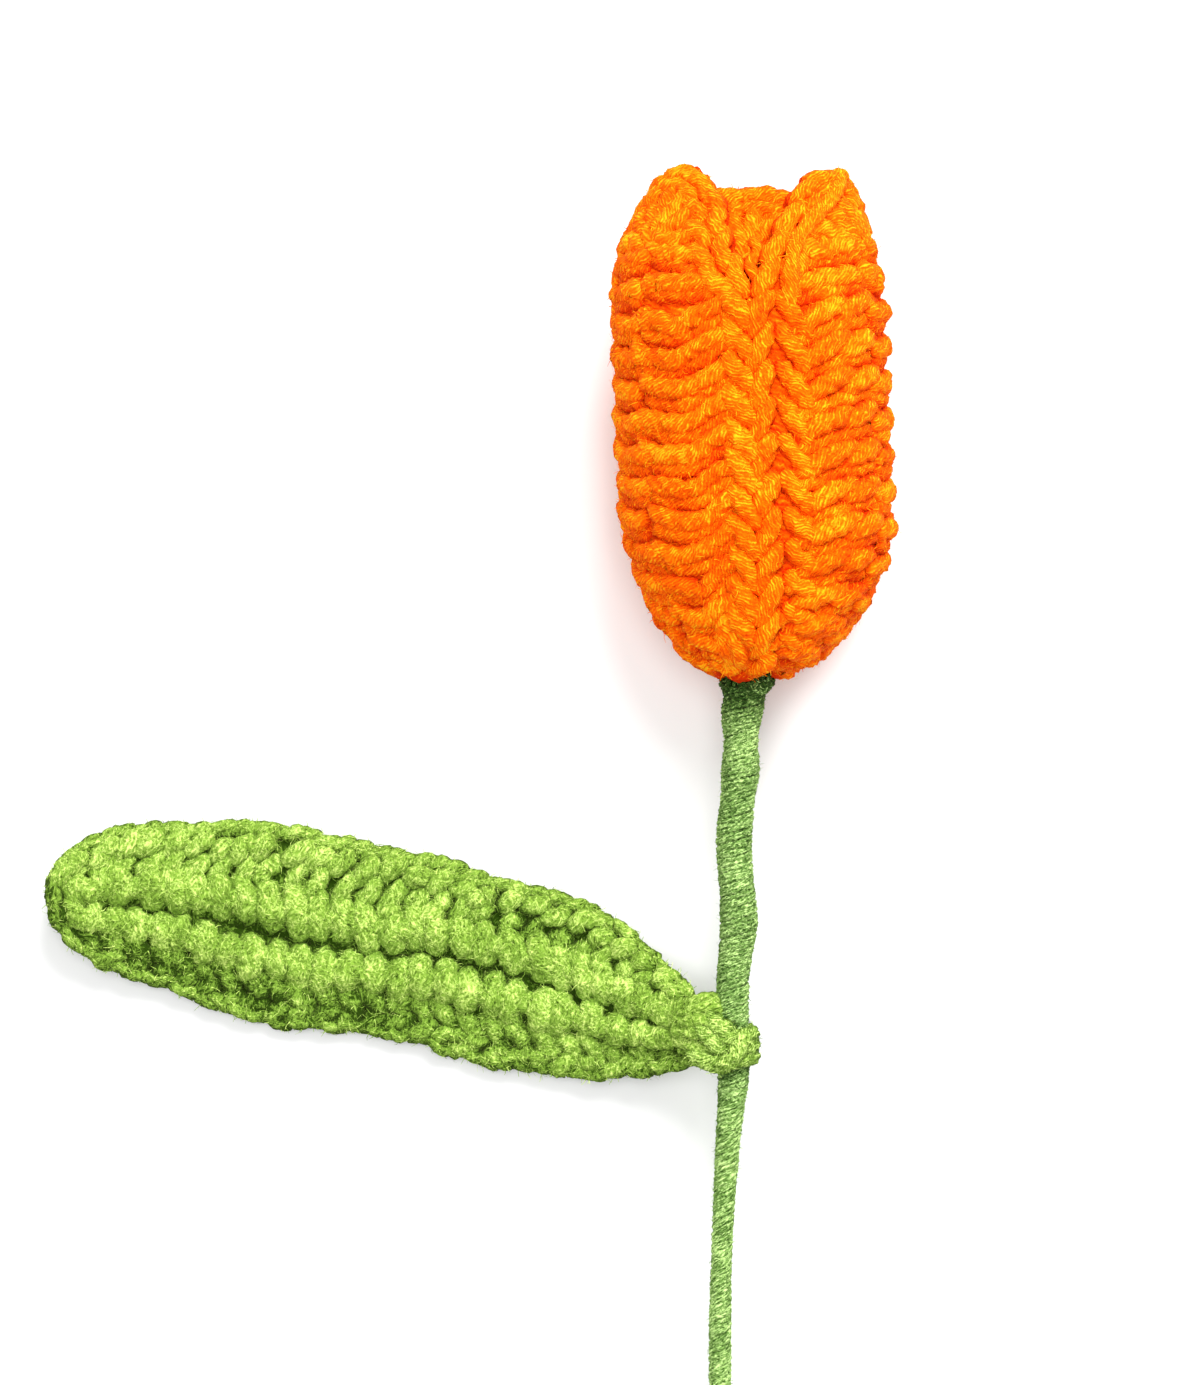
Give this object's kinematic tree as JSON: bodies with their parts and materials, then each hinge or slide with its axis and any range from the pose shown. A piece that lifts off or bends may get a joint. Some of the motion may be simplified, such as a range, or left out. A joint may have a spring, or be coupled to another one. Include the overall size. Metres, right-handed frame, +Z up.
{
  "type": "crocheted tulip",
  "caption": "Hand-crocheted tulip lying on its back: orange yarn bloom of sewn petals, a wire stem wound in green yarn and a crocheted leaf tied to the stem.",
  "frame": {"origin": "middle of the lying flower's footprint, on the surface it lies on", "axes": "+Y along the stem towards the bloom's tip, +X away from the leaf, +Z up from the surface"},
  "size_m": [0.1038, 0.2278, 0.0275],
  "materials": {
    "petal_yarn": "matte orange milk-cotton yarn, crocheted",
    "seam_yarn": "matte orange yarn, sewn",
    "leaf_yarn": "matte yellow-green yarn, crocheted, slightly fuzzy",
    "tie_yarn": "matte light yellow-green yarn, knotted",
    "stem_yarn": "matte green yarn, wound closely",
    "stem_wire": "dull galvanised wire"
  },
  "bodies": {
    "root": {"petal_left": "petal_yarn", "petal_right": "petal_yarn", "petal_back": "petal_yarn", "seam_front": "seam_yarn", "seam_left": "seam_yarn", "seam_right": "seam_yarn", "stem_wire": "stem_wire", "stem_wrap_upper": "stem_yarn", "leaf_tie": "tie_yarn", "stem_wrap_lower": "stem_yarn", "leaf": "leaf_yarn"}
  },
  "joints": []
}
